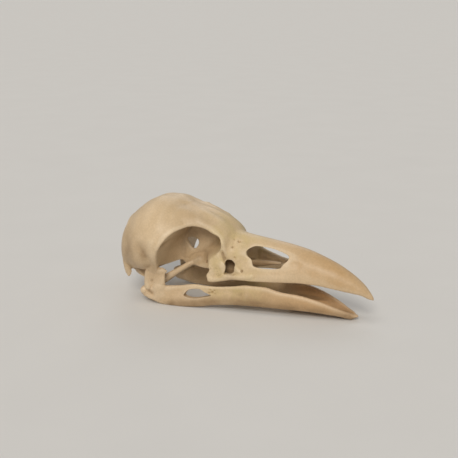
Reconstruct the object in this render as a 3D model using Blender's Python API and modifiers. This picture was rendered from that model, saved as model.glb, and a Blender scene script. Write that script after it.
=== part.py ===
"""Skull of a crow, life size, resting on its lower jaw with the beak a little open.

The frame is in metres with +X towards the tip of the beak, +Y to the bird's left and +Z up.
The origin is on the floor, midway between the back of the braincase and the tip of the beak.
Dimensions below are in millimetres and are turned into metres as the meshes are made.
"""

import math

import bmesh
import bpy
import numpy as np
from mathutils import Matrix, Vector

MM = 0.001
SKULL_LENGTH = 92.0
BACK_X = -SKULL_LENGTH / 2
TIP_X = SKULL_LENGTH / 2

# The cranium is parted behind the eye sockets and at the hinge of the beak. Pieces that touch
# are kept this far apart.
BRAINCASE_END = -24.6
HINGE_X = -0.6
GAP = 0.35

LIP_RADIUS = 0.7
VOXEL = 0.35
EVEN_VOXEL = 0.28
TRIANGLES = {"braincase": 1900, "frontal": 2000, "upper": 1700, "mandible": 1700,
             "quadrate": 420, "pterygoid": 130, "palatine": 190, "jugal": 140}

# Stations along the skull, one row for each: the place along X, then the heights of the top,
# the widest level and the bottom of the section, then its half width.
BRAINCASE = np.array([
    (BACK_X + 0.1, 19.5, 19.5, 19.5, 0.0),
    (-44.8, 26.3, 18.8, 12.8, 8.2),
    (-42.8, 30.2, 18.6, 10.2, 12.5),
    (-39.5, 33.2, 19.6, 9.6, 15.0),
    (-35.5, 35.5, 20.0, 9.4, 17.4),
    (-31.0, 36.6, 20.8, 9.8, 18.5),
    (-27.5, 36.6, 21.5, 11.4, 18.2),
    (-23.5, 35.7, 22.5, 12.6, 16.4),
    (-19.0, 33.6, 23.5, 14.0, 12.0),
    (-15.0, 24.0, 24.0, 24.0, 0.0),
])
FOREHEAD = np.array([
    (-27.0, 30.0, 30.0, 30.0, 0.0),
    (-24.0, 35.4, 28.6, 14.5, 13.5),
    (-19.5, 34.6, 28.8, 13.5, 10.6),
    (-16.0, 33.7, 29.1, 13.5, 8.9),
    (-12.0, 32.3, 28.1, 13.5, 8.5),
    (-8.5, 30.6, 26.1, 13.5, 9.1),
    (-6.2, 29.1, 24.4, 13.5, 9.6),
    (-4.8, 28.0, 22.8, 13.3, 9.7),
    (-3.5, 26.8, 19.4, 13.0, 8.7),
    (-2.0, 25.9, 18.0, 13.0, 8.5),
    (0.0, 25.2, 17.5, 13.0, 8.6),
    (3.0, 24.4, 16.0, 13.0, 8.4),
    (6.0, 18.0, 18.0, 18.0, 0.0),
])
# Stations along the upper beak: X, the ridge on top, the cutting edge, half width at the edge,
# how far the palate is vaulted, and how square the section is.
BEAK = np.array([
    (-3.5, 24.0, 15.0, 0.0, 0.0, 1.9),
    (-1.2, 25.8, 11.5, 8.9, 0.3, 1.9),
    (3.0, 25.3, 11.4, 9.6, 0.6, 1.85),
    (9.0, 24.6, 11.6, 9.0, 1.2, 1.8),
    (15.0, 23.9, 11.9, 8.1, 1.8, 1.8),
    (21.5, 22.7, 12.2, 7.1, 2.0, 1.85),
    (27.5, 20.8, 11.9, 5.9, 2.0, 1.9),
    (33.3, 18.3, 11.0, 4.7, 1.7, 2.0),
    (38.4, 15.4, 9.9, 3.5, 1.2, 2.1),
    (41.8, 12.9, 8.8, 2.5, 0.7, 2.1),
    (44.6, 10.0, 7.7, 1.3, 0.2, 2.1),
    (TIP_X, 7.4, 7.4, 0.0, 0.0, 2.0),
])
# Stations along each half of the lower jaw: X, the bottom, the top, the half width to the outer
# face, and the thickness of the wall.
RAMUS = np.array([
    (-35.6, 4.4, 5.6, 13.6, 1.6),
    (-33.4, 2.3, 7.0, 14.3, 4.2),
    (-30.0, 0.8, 7.0, 14.5, 4.6),
    (-26.5, -0.1, 6.9, 14.1, 3.2),
    (-21.0, -0.3, 7.5, 13.4, 2.3),
    (-14.4, 0.2, 8.5, 12.4, 2.0),
    (-9.2, 1.2, 8.3, 11.6, 2.0),
    (-3.0, 2.0, 8.8, 10.7, 2.1),
    (4.5, 2.4, 9.8, 9.6, 2.1),
    (10.0, 2.4, 9.7, 8.8, 2.0),
    (15.5, 2.3, 8.4, 7.9, 1.9),
    (21.0, 2.0, 7.9, 6.9, 1.8),
    (26.0, 1.5, 6.9, 5.9, 1.6),
    (30.0, 1.0, 5.7, 4.9, 1.5),
    (34.0, 0.6, 4.0, 3.8, 1.4),
    (37.0, 0.5, 2.7, 2.6, 1.3),
    (39.5, 0.7, 1.6, 1.3, 1.0),
])

# The lower jaw's joined front: X, the rim, the widest level, the bottom and the half width.
CHIN = np.array([
    (19.5, 4.0, 3.4, 2.6, 0.0),
    (21.5, 5.0, 4.2, 1.6, 6.4),
    (24.0, 5.6, 4.8, 1.3, 6.1),
    (27.0, 5.8, 5.0, 1.0, 5.5),
    (31.0, 4.9, 4.2, 0.4, 4.5),
    (35.0, 3.3, 2.7, -0.2, 3.4),
    (38.0, 2.2, 1.6, -0.25, 2.2),
    (39.8, 1.6, 1.1, 0.2, 1.2),
    (40.7, 1.1, 1.1, 1.1, 0.0),
])
CHIN_HOLLOW = np.array([
    (13.0, 12.0, 6.0, 4.0, 0.0),
    (15.5, 12.0, 6.8, 3.4, 5.9),
    (21.0, 12.0, 6.7, 3.0, 5.15),
    (26.0, 11.0, 6.0, 2.6, 4.3),
    (30.0, 10.0, 5.0, 2.1, 3.4),
    (34.5, 8.0, 3.6, 1.5, 2.2),
    (37.5, 6.0, 2.6, 1.2, 1.2),
    (39.4, 4.0, 2.0, 1.4, 0.0),
])
# Bars of the right side: X, Y, Z and two half widths at places along each.
PTERYGOID = [(-29.0, -11.0, 7.4, 1.3, 1.2), (-26.5, -8.6, 8.9, 1.05, 1.0),
             (-23.4, -5.2, 11.0, 0.95, 0.95), (-20.2, -1.9, 12.9, 1.0, 0.8)]
PALATINE = [(-21.5, -2.3, 12.1, 0.8, 0.6), (-17.5, -3.4, 11.7, 1.9, 0.8),
            (-12.0, -4.4, 11.5, 2.0, 0.7), (-5.0, -4.8, 11.3, 1.4, 0.6),
            (3.0, -4.5, 11.6, 1.1, 0.6), (9.5, -3.8, 12.2, 1.0, 0.6), (14.2, -3.0, 13.2, 0.9, 0.6)]
JUGAL = [(4.5, -9.2, 12.3, 0.9, 0.9), (0.0, -9.7, 12.0, 0.85, 0.7), (-5.0, -10.0, 11.0, 0.85, 0.65),
         (-9.0, -10.1, 10.3, 1.0, 0.65), (-11.0, -10.1, 10.3, 1.2, 0.7)]
# Outlines of windows, in X and Z.
NOSTRIL = [(3.0, 18.9), (3.5, 21.2), (6.0, 22.5), (9.9, 22.5), (13.6, 21.7), (16.4, 20.7),
           (17.5, 19.9), (16.3, 18.5), (15.5, 17.1), (11.8, 16.6), (7.8, 16.7), (5.2, 17.2)]
SEPTUM_WINDOW = [(-23.3, 21.5), (-22.3, 22.4), (-20.6, 22.2), (-19.3, 20.9), (-19.2, 19.2),
                 (-20.4, 17.9), (-21.8, 18.5), (-22.9, 19.8)]
JAW_WINDOWS = [
    [(-18.6, 4.3), (-17.6, 5.5), (-15.8, 6.4), (-13.4, 6.7), (-11.3, 6.1), (-9.6, 4.8),
     (-10.8, 3.9), (-13.0, 3.5), (-15.6, 3.2), (-17.6, 3.6)],
]


def through(knots, values, at):
    """A smooth curve through hand-set stations that never overshoots them (monotone cubic)."""
    step = np.diff(knots)
    slope = np.diff(values) / step
    ends = (slope[0], slope[-1])
    product = slope[:-1] * slope[1:]
    weights = (2 * step[1:] + step[:-1], step[1:] + 2 * step[:-1])
    safe = np.where(product > 0, slope[:-1], 1.0), np.where(product > 0, slope[1:], 1.0)
    mean = sum(weights) / (weights[0] / safe[0] + weights[1] / safe[1])
    tangent = np.concatenate([[ends[0]], np.where(product > 0, mean, 0.0), [ends[1]]])
    cell = np.clip(np.searchsorted(knots, at) - 1, 0, len(step) - 1)
    t = (at - knots[cell]) / step[cell]
    return (
        values[cell] * (1 + 2 * t) * (1 - t) ** 2
        + tangent[cell] * step[cell] * t * (1 - t) ** 2
        + values[cell + 1] * t * t * (3 - 2 * t)
        + tangent[cell + 1] * step[cell] * t * t * (t - 1)
    )


def along(table, rows):
    """The table's columns at stations that crowd towards both ends, so that the ends are round."""
    first, last = table[0, 0], table[-1, 0]
    turn = np.linspace(0.0, math.pi, rows)
    knots = np.arccos(np.clip(1 - 2 * (table[:, 0] - first) / (last - first), -1, 1))
    x = first + (last - first) * (1 - np.cos(turn)) / 2
    return [x] + [through(knots, table[:, column], turn) for column in range(1, table.shape[1])]


def power(wave, exponent):
    return np.sign(wave) * np.abs(wave) ** exponent


def clear_scene():
    for obj in list(bpy.data.objects):
        bpy.data.objects.remove(obj, do_unlink=True)


def collection(name, helper=False):
    made = bpy.data.collections.new(name)
    made.hide_render = helper
    bpy.context.scene.collection.children.link(made)
    return made


def bone(name, colour, roughness):
    material = bpy.data.materials.new(name)
    material.use_nodes = True
    surface = material.node_tree.nodes["Principled BSDF"]
    surface.inputs["Base Color"].default_value = (*colour, 1.0)
    surface.inputs["Roughness"].default_value = roughness
    surface.inputs["Metallic"].default_value = 0.0
    return material


def closed_skin(rings):
    """A closed mesh through rows of rings, whose first and last ring are each a single point."""
    rows, sides = rings.shape[0] - 2, rings.shape[1]
    points = np.concatenate([rings[:1, 0], rings[1:-1].reshape(-1, 3), rings[-1:, 0]])
    near = 1 + np.arange(sides)
    after = 1 + (np.arange(sides) + 1) % sides
    start = (np.arange(rows - 1) * sides)[:, None]
    quads = np.stack([start + near, start + after, start + sides + after, start + sides + near], -1)
    end = len(points) - 1
    last = (rows - 1) * sides
    fans = [np.stack([0 * near, after, near], -1), np.stack([0 * near + end, last + near, last + after], -1)]
    mesh = bpy.data.meshes.new("skin")
    faces = quads.reshape(-1, 4).tolist() + np.concatenate(fans).tolist()
    mesh.from_pydata((points * MM).tolist(), [], faces)
    shape = bmesh.new()
    shape.from_mesh(mesh)
    if shape.calc_volume(signed=True) < 0:
        bmesh.ops.reverse_faces(shape, faces=shape.faces)
    shape.to_mesh(mesh)
    shape.free()
    return mesh


def oval_rings(x, top, wide, low, half_width, squareness=2.0, lower_squareness=2.0, sides=56):
    """Rings across the skull: an oval whose upper and lower halves meet at its widest level."""
    turn = np.linspace(0, 2 * math.pi, sides, endpoint=False)
    bow = 2 / np.where(np.sin(turn) > 0, squareness, lower_squareness)
    across = power(np.cos(turn), bow)
    upward = power(np.sin(turn), bow)
    reach = np.where(upward > 0, (top - wide)[:, None], (wide - low)[:, None])
    rings = [x[:, None] + 0 * across, half_width[:, None] * across, wide[:, None] + reach * upward]
    return np.stack(rings, -1)


def bump(points, centre, spread):
    """1 at the centre, fading to nothing: a bell shape with its own spread along each axis."""
    offset = (points - np.array(centre)) / np.array(spread)
    return np.exp(-(offset ** 2).sum(-1))


def ball(centre, radii, squareness=2.0, rows=25, sides=32, turned=None):
    """A closed oval of revolution about Y, squarer in profile as squareness grows past 2."""
    slant = np.linspace(0, math.pi, rows)[:, None]
    turn = np.linspace(0, 2 * math.pi, sides, endpoint=False)[None, :]
    reach = power(np.sin(slant), 2 / squareness)
    along_y = power(np.cos(slant), 2 / squareness) + 0 * turn
    shape = np.stack([reach * np.cos(turn), along_y, reach * np.sin(turn)], -1) * np.array(radii)
    if turned is not None:
        shape = shape @ np.array(turned.to_3x3()).T
    return closed_skin(shape + np.array(centre))


def rod(path, across=(0, 0, 1), rows=36, sides=20):
    """A bar along a smooth path. Each row of the path is X, Y, Z and the bar's two half widths:
    the first lies as near the direction across as the path allows, and both ends are round."""
    path = np.array(path, float)
    steps = np.linalg.norm(np.diff(path[:, :3], axis=0), axis=1)
    length = np.concatenate([[0.0], np.cumsum(steps)])
    at = length[-1] * (1 - np.cos(np.linspace(0, math.pi, rows))) / 2
    middle = np.stack([through(length, path[:, axis], at) for axis in range(3)], -1)
    half = np.stack([through(length, path[:, axis], at) for axis in (3, 4)], -1)
    ahead = np.gradient(middle, axis=0)
    ahead /= np.linalg.norm(ahead, axis=1)[:, None]
    first = np.array(across, float) - ahead * (ahead @ np.array(across, float))[:, None]
    first /= np.linalg.norm(first, axis=1)[:, None]
    second = np.cross(ahead, first)
    tip = half.min(axis=1)
    from_end = np.minimum(at, length[-1] - at)
    closing = np.sqrt(np.clip(1 - (1 - np.clip(from_end / tip, 0, 1)) ** 2, 0, 1))
    turn = np.linspace(0, 2 * math.pi, sides, endpoint=False)[None, :, None]
    wide = (half[:, 0] * closing)[:, None, None] * np.cos(turn) * first[:, None, :]
    thick = (half[:, 1] * closing)[:, None, None] * np.sin(turn) * second[:, None, :]
    return closed_skin(middle[:, None, :] + wide + thick)


def prism(outline, reach):
    """A solid along Y over a closed smooth outline of X, Z points, from one value of Y to another."""
    outline = np.array(outline, float)
    corners = len(outline)
    wrapped = np.concatenate([outline[-2:], outline, outline[:3]])
    at = np.linspace(0, corners, corners * 6, endpoint=False)
    cell = at.astype(int)
    t = (at - cell)[:, None]
    a, b, c, d = (wrapped[cell + shift] for shift in (1, 2, 3, 4))
    curve = b + t / 2 * (c - a + t * (2 * a - 5 * b + 4 * c - d + t * (3 * (b - c) + d - a)))
    centre = curve.mean(axis=0)
    levels = [(reach[0], 0.0), (reach[0], 1.0), (reach[1], 1.0), (reach[1], 0.0)]
    rings = [np.insert(centre + (curve - centre) * size, 1, y, axis=1) for y, size in levels]
    return closed_skin(np.stack(rings))


def mirrored(mesh):
    twin = mesh.copy()
    twin.transform(Matrix.Scale(-1, 4, Vector((0, 1, 0))))
    twin.flip_normals()
    return twin


def as_object(name, meshes, home):
    """One object that holds all these meshes, still as separate bodies."""
    shape = bmesh.new()
    for mesh in meshes:
        shape.from_mesh(mesh)
    whole = bpy.data.meshes.new(name)
    shape.to_mesh(whole)
    shape.free()
    obj = bpy.data.objects.new(name, whole)
    home.objects.link(obj)
    return obj


def settled(obj):
    """The object with its modifiers worked out and dropped."""
    graph = bpy.context.evaluated_depsgraph_get()
    mesh = bpy.data.meshes.new_from_object(obj.evaluated_get(graph))
    obj.modifiers.clear()
    obj.data = mesh
    return obj


def fuse(obj, voxel, rounds):
    """Joins the bodies of an object into one even skin and softens its creases."""
    skin = obj.modifiers.new("One skin", "REMESH")
    skin.mode = "VOXEL"
    skin.voxel_size = voxel * MM
    return softened(obj, rounds)


def softened(obj, rounds):
    soften = obj.modifiers.new("Soften", "SMOOTH")
    soften.factor = 0.5
    soften.iterations = rounds
    return settled(obj)


def grown(obj, distance):
    """The body's skin moved outwards."""
    grow = obj.modifiers.new("Grow", "DISPLACE")
    grow.strength = distance * MM
    grow.mid_level = 0.0
    return settled(obj)


def boolean(obj, other, operation):
    """Cuts, joins or keeps what is shared with another object, which stays as a hidden helper."""
    other.hide_render = True
    other.display_type = "WIRE"
    step = obj.modifiers.new(operation, "BOOLEAN")
    step.operation = operation
    step.solver = "EXACT"
    step.object = other
    return settled(obj)


def thin_out(obj, triangles):
    """Fewer triangles for the same shape."""
    obj.data.calc_loop_triangles()
    fewer = obj.modifiers.new("Fewer", "DECIMATE")
    fewer.ratio = min(1.0, triangles / len(obj.data.loop_triangles))
    fewer.use_collapse_triangulate = True
    return settled(obj)


def block(name, low, high, home):
    """A plain box between two corners, used to cut with."""
    bpy.ops.mesh.primitive_cube_add(size=1)
    obj = bpy.context.object
    obj.name = name
    size = [(b - a) * MM for a, b in zip(low, high)]
    centre = [(a + b) / 2 * MM for a, b in zip(low, high)]
    obj.data.transform(Matrix.Translation(centre) @ Matrix.Diagonal((*size, 1)))
    for user in obj.users_collection:
        user.objects.unlink(obj)
    home.objects.link(obj)
    obj.hide_render = True
    obj.display_type = "WIRE"
    return obj


def beak_rings(x, ridge, edge, half_width, vault, squareness, sides=72):
    """Rings round the upper beak: an arch over a vaulted palate, with rounded cutting edges."""
    x, ridge, edge, half_width, vault, bow = (
        column[:, None] for column in (x, ridge, edge, half_width, vault, 2 / squareness))
    turn = np.linspace(0, 2 * math.pi, sides, endpoint=False)[None, :]
    side, rise = np.cos(turn), np.sin(turn)
    lip = np.minimum(LIP_RADIUS, 0.3 * np.minimum(half_width, ridge - edge))
    arch_across = half_width * power(side, bow)
    arch_height = edge + lip + (ridge - edge - lip) * np.abs(rise) ** bow
    below = np.arcsin(np.clip(-rise, 0, 1)) / (math.pi / 2)
    corner = np.clip(below / 0.3, 0, 1) * math.pi / 2
    inward = np.clip((below - 0.3) / 0.7, 0, 1)
    lip_across = np.sign(side) * (half_width - lip + lip * np.cos(corner)) * (1 - inward)
    lip_height = edge + lip * (1 - np.sin(corner)) + vault * np.sin(inward * math.pi / 2)
    upper = rise >= 0
    rows = [x + 0 * turn, np.where(upper, arch_across, lip_across),
            np.where(upper, arch_height, lip_height)]
    return np.stack(rows, -1)


def ramus_rings(x, low, high, half_width, wall, sides=28):
    """Rings round the right half of the lower jaw: a tall plate with rounded edges."""
    turn = np.linspace(0, 2 * math.pi, sides, endpoint=False)
    across = power(np.cos(turn), 0.75)
    upward = power(np.sin(turn), 0.6)
    middle = (low + high) / 2
    rows = [
        x[:, None] + 0 * across,
        -(half_width - wall / 2)[:, None] + wall[:, None] / 2 * across,
        middle[:, None] + (high - low)[:, None] / 2 * upward,
    ]
    return np.stack(rows, -1)


def braincase():
    rings = oval_rings(*along(BRAINCASE, 60), squareness=2.1, lower_squareness=2.7)
    pair = rings * np.array([1, -1, 1]) ** (rings[..., 1:2] > 0)
    temple = 1.5 * bump(pair, (-31.5, -17.0, 16.5), (3.2, 6.0, 4.6))
    nape = 0.5 * bump(rings, (-44.0, 0.0, 21.0), (4.0, 5.0, 7.0))
    rings[..., 1] *= 1 - temple / 18.0
    rings[..., 0] -= nape
    return closed_skin(rings)


def forehead():
    rings = oval_rings(*along(FOREHEAD, 70), squareness=2.1, lower_squareness=2.3)
    groove = bump(rings, (-13.0, 0.0, 32.0), (9.0, 2.2, 5.0))
    rings[..., 2] -= 0.7 * groove
    return closed_skin(rings)


def both_sides(mesh):
    return [mesh, mirrored(mesh)]


def cranium_bodies():
    """Everything of the cranium that is full before its openings are cut."""
    bodies = [braincase(), forehead(), closed_skin(beak_rings(*along(BEAK, 80)))]
    behind_orbit = [(-29.0, -16.2, 22.0, 3.0, 1.2), (-27.4, -16.6, 17.5, 2.2, 1.0),
                    (-26.6, -15.9, 13.0, 1.0, 0.7)]
    beside_neck = [(-43.6, -3.0, 17.4, 2.2, 1.8), (-43.0, -8.2, 15.4, 2.5, 2.0),
                   (-41.8, -11.0, 12.6, 1.8, 1.4), (-39.7, -12.8, 8.7, 0.8, 0.7)]
    over_quadrate = [(-35.0, -13.6, 13.4, 1.8, 1.6), (-31.5, -14.6, 13.8, 2.0, 1.5),
                     (-28.4, -15.2, 14.0, 2.0, 1.2), (-26.2, -14.6, 13.4, 1.2, 0.8)]
    for path, across in ((behind_orbit, (1, 0, 0)), (beside_neck, (1, 0, 0)),
                         (over_quadrate, (0, 0, 1))):
        bodies += both_sides(rod(path, across))
    return bodies


def cranium_openings():
    """The eye sockets, the nasal cavity with its nostrils, and the openings of the skull's base."""
    right = [
        ball((-15.8, -14.6, 17.2), (11.6, 14.0, 11.1), squareness=4.4, rows=41, sides=56),
        ball((-1.9, -8.5, 15.4), (2.7, 6.0, 3.6), rows=21),
        ball((-35.6, -15.0, 10.4), (2.8, 5.5, 3.2), rows=21),
        prism(NOSTRIL, (-12.0, -1.0)),
    ]
    openings = [mesh for body in right for mesh in both_sides(body)]
    nasal = np.array([
        (1.6, 23.0, 14.8, 0.0, 0.0, 2.4), (2.2, 23.6, 14.5, 6.0, 0.0, 2.4),
        (5.0, 23.4, 14.2, 7.4, 0.0, 2.2), (9.0, 22.9, 14.2, 7.4, 0.0, 2.0),
        (14.0, 22.0, 14.6, 6.4, 0.0, 1.9), (17.4, 20.8, 15.6, 4.6, 0.0, 1.9),
        (18.4, 18.4, 18.0, 0.0, 0.0, 1.9),
    ])
    openings.append(closed_skin(beak_rings(*along(nasal, 40), sides=40)))
    openings.append(ball((5.6, 0.0, 12.4), (8.2, 5.2, 4.6), squareness=2.6, rows=25))
    tilt = Matrix.Rotation(math.radians(38), 4, "Y")
    openings.append(ball((-42.6, 0.0, 11.4), (3.6, 3.5, 3.8), rows=25, turned=tilt))
    openings.append(prism(SEPTUM_WINDOW, (-3.0, 3.0)))
    return openings


def cranium_struts():
    """Thin bones that cross or border the openings."""
    struts = [
        rod([(-31.0, 0, 10.6, 1.6, 1.8), (-27.0, 0, 12.0, 1.5, 1.5), (-21.0, 0, 12.4, 1.1, 1.1),
             (-12.0, 0, 12.0, 1.0, 0.9), (-1.2, 0, 12.4, 1.2, 1.0)]),
        ball((-38.4, 0.0, 9.0), (1.5, 1.5, 1.3), rows=15, sides=18),
    ]
    wing = rod([(-4.2, -7.4, 22.5, 1.4, 0.8), (-5.4, -8.3, 18.5, 1.7, 0.8),
                (-7.0, -9.2, 14.4, 2.2, 0.8), (-9.2, -9.9, 10.5, 2.2, 0.9)], across=(1, 0, 0))
    screen = rod([(-5.4, -1.0, 17.0, 6.2, 0.6), (-5.9, -4.8, 16.6, 5.6, 0.6),
                  (-6.4, -8.6, 16.0, 4.6, 0.7)])
    for mesh in (wing, screen):
        struts += both_sides(mesh)
    return struts


def cranium(voxel, home):
    """Braincase, frontal roof and upper beak as one body, with the struts left standing in it."""
    struts = cranium_struts()
    whole = fuse(as_object("Cranium", cranium_bodies() + struts, home), voxel, 2)
    openings = fuse(as_object("Cranium openings", cranium_openings(), home), voxel, 1)
    standing = grown(fuse(as_object("Struts", struts, home), voxel, 1), 0.12)
    boolean(openings, standing, "DIFFERENCE")
    boolean(whole, openings, "DIFFERENCE")
    return softened(whole, 3)


def lower_jaw(voxel, home):
    right = closed_skin(ramus_rings(*along(RAMUS, 70)))
    chin = closed_skin(oval_rings(*along(CHIN, 40)))
    hollow = closed_skin(oval_rings(*along(CHIN_HOLLOW, 40)))
    inner_knob = rod([(-30.6, -12.4, 4.6, 1.7, 1.4), (-30.4, -9.6, 5.4, 1.3, 1.1),
                      (-29.8, -7.6, 6.6, 0.8, 0.7)], across=(1, 0, 0))
    jaw = as_object("Lower jaw", both_sides(right) + both_sides(inner_knob) + [chin], home)
    fuse(jaw, voxel, 1)
    cuts = [prism(outline, (-20.0, -8.0)) for outline in JAW_WINDOWS]
    cuts = [mesh for body in cuts for mesh in both_sides(body)] + [hollow]
    boolean(jaw, fuse(as_object("Jaw openings", cuts, home), voxel, 0), "DIFFERENCE")
    return softened(jaw, 3)


def quadrate(voxel, home):
    body = ball((-29.8, -12.7, 9.2), (3.5, 2.4, 3.6), rows=19, sides=24)
    neck = rod([(-29.8, -12.8, 9.0, 2.6, 1.8), (-30.8, -13.2, 12.0, 2.4, 1.5),
                (-31.4, -13.4, 14.8, 1.6, 1.1)], across=(1, 0, 0))
    blade = rod([(-29.0, -12.0, 9.8, 2.2, 0.8), (-26.8, -10.0, 11.2, 1.4, 0.7),
                 (-24.6, -8.2, 12.6, 0.8, 0.6)])
    foot = rod([(-30.8, -14.6, 6.6, 1.5, 1.3), (-29.8, -12.0, 6.6, 1.3, 1.3),
                (-28.8, -9.6, 6.4, 1.4, 1.3)], across=(1, 0, 0))
    whole = as_object("Quadrate", [body, neck, blade, foot], home)
    return fuse(whole, voxel, 2)


def slice_of(whole, name, first, last, home, helpers):
    """The part of a body between two places along X."""
    obj = bpy.data.objects.new(name, whole.data.copy())
    home.objects.link(obj)
    box = block(name + " slice", (first, -60, -60), (last, 60, 60), helpers)
    return boolean(obj, box, "INTERSECT")


def swollen(name, bones, home):
    """These bones as one body, larger all round by the gap."""
    whole = fuse(as_object(name, [obj.data for obj in bones], home), VOXEL, 1)
    return fuse(grown(whole, GAP), VOXEL, 0)


def solid_rod(name, path, home, across=(0, 0, 1)):
    return as_object(name, [rod(path, across, rows=30, sides=16)], home)


def twin(obj, name, home):
    """The same bone of the other side."""
    other = bpy.data.objects.new(name, mirrored(obj.data))
    home.objects.link(other)
    return other


def build():
    clear_scene()
    skull = collection("Skull")
    helpers = collection("Helpers", helper=True)
    nodes = {}

    whole = cranium(VOXEL, helpers)
    cuts = [(BACK_X - 5, BRAINCASE_END - GAP / 2), (BRAINCASE_END + GAP / 2, HINGE_X - GAP / 2),
            (HINGE_X + GAP / 2, TIP_X + 5)]
    for name, (first, last) in zip(("braincase", "frontal", "upper_beak"), cuts):
        nodes[name] = slice_of(whole, name, first, last, skull, helpers)

    nodes["mandible"] = lower_jaw(VOXEL, helpers)
    nodes["quadrate_right"] = quadrate(VOXEL, helpers)
    nodes["pterygoid_right"] = solid_rod("pterygoid_right", PTERYGOID, helpers)
    nodes["palatine_right"] = solid_rod("palatine_right", PALATINE, helpers, across=(0, 1, 0))
    nodes["jugal_right"] = solid_rod("jugal_right", JUGAL, helpers)
    for name in ("quadrate", "pterygoid", "palatine", "jugal"):
        nodes[name + "_left"] = twin(nodes[name + "_right"], name + "_left", helpers)

    small = [obj for name, obj in nodes.items() if name.endswith(("right", "left"))]
    clearance = swollen("Clearance", small, helpers)
    for name in ("braincase", "frontal", "upper_beak", "mandible"):
        boolean(nodes[name], clearance, "DIFFERENCE")
    for side in ("right", "left"):
        pterygoid = swollen("Clearance " + side, [nodes["pterygoid_" + side]], helpers)
        boolean(nodes["quadrate_" + side], pterygoid, "DIFFERENCE")
        boolean(nodes["palatine_" + side], pterygoid, "DIFFERENCE")

    floor = block("Floor", (-60, -60, -5), (60, 60, 0), helpers)
    ivory = bone("Bone", (0.72, 0.60, 0.42), 0.55)
    horn = bone("Beak bone", (0.76, 0.60, 0.40), 0.5)
    for name, obj in nodes.items():
        for user in obj.users_collection:
            user.objects.unlink(obj)
        skull.objects.link(obj)
        thin_out(fuse(obj, EVEN_VOXEL, 1), TRIANGLES[name.split("_")[0]])
        if name == "mandible":
            boolean(obj, floor, "DIFFERENCE")
        obj.name = name
        obj.hide_render = False
        obj.display_type = "TEXTURED"
        obj.data.materials.clear()
        obj.data.materials.append(horn if name in ("upper_beak", "mandible") else ivory)


build()
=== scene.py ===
"""A crow's skull in cleaned bone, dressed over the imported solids.

Lengths in the tables are millimetres in the part's own frame: +X to the tip of the beak, +Y to
the bird's left, +Z up. Each bone starts as closed skins worked out with numpy. The skins of one
bone are joined into one even surface, its openings are cut, and then small relief is raised on
it along its normals.
"""

import math

import bmesh
import bpy
import numpy as np
from mathutils import Matrix, Vector

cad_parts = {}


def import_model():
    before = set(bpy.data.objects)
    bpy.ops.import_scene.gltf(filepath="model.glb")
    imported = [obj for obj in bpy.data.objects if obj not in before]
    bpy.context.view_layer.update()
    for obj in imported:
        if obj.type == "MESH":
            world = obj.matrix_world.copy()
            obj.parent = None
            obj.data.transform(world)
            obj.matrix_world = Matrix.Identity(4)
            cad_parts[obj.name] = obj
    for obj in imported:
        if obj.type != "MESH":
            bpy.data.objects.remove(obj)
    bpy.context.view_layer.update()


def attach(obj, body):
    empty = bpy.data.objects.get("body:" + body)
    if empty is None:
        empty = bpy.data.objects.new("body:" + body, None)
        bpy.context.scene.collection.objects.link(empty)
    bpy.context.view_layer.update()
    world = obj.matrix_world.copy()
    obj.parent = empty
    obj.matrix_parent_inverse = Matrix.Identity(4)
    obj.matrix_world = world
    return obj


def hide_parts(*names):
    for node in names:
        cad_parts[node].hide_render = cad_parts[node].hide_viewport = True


MM = 0.001
LENGTHWISE, CROSSWISE, UPRIGHT = (1, 0, 0), (0, 1, 0), (0, 0, 1)
SKULL_LENGTH = 92.0
TIP_X = SKULL_LENGTH / 2
LIP_RADIUS = 0.55
LIP_SHARE = 0.3  # of the way round from the beak's side to the middle of its palate
VOXEL = 0.29  # size of the even mesh that joins a bone's bodies
CUTTER_VOXEL = 0.27
QUADRATE_VOXEL = 0.24
PTERYGOID_VOXEL = 0.2
CRANIUM_TRIANGLES = 190000
STRUT_MARGIN = 0.1  # how far the openings stop short of the struts

# Stations along the skull: the place along X, then the heights of the top, the widest level and
# the bottom of the section, then its half width.
BRAINCASE = [
    (0.1 - TIP_X, 19.5, 19.5, 19.5, 0.0), (-44.8, 25.2, 18.4, 11.9, 9.0), (-42.8, 29.1, 18.4, 9.8, 12.9),
    (-39.5, 32.4, 19.4, 8.9, 15.1), (-35.5, 35.15, 20.0, 9.3, 17.3), (-31.0, 36.6, 20.8, 11.2, 18.15),
    (-27.5, 36.6, 21.5, 12.8, 17.9), (-23.5, 35.7, 22.5, 13.6, 16.2), (-19.0, 33.6, 23.5, 14.4, 12.0),
    (-15.0, 24.0, 24.0, 24.0, 0.0),
]
FOREHEAD = [
    (-27.0, 30.0, 30.0, 30.0, 0.0), (-24.0, 35.4, 28.6, 14.5, 13.5), (-19.5, 34.6, 28.8, 13.5, 10.6),
    (-16.0, 33.7, 29.1, 13.5, 8.9), (-12.0, 32.3, 28.1, 13.5, 8.5), (-8.5, 30.5, 26.1, 13.5, 9.1),
    (-6.2, 28.85, 24.4, 13.5, 9.6), (-4.8, 27.7, 22.8, 13.3, 9.7), (-3.5, 26.6, 19.4, 13.0, 8.7),
    (-2.0, 25.9, 18.0, 13.0, 8.5), (0.0, 25.2, 17.5, 13.0, 8.6), (3.0, 24.4, 16.0, 13.0, 8.4),
    (6.0, 18.0, 18.0, 18.0, 0.0),
]
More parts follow.
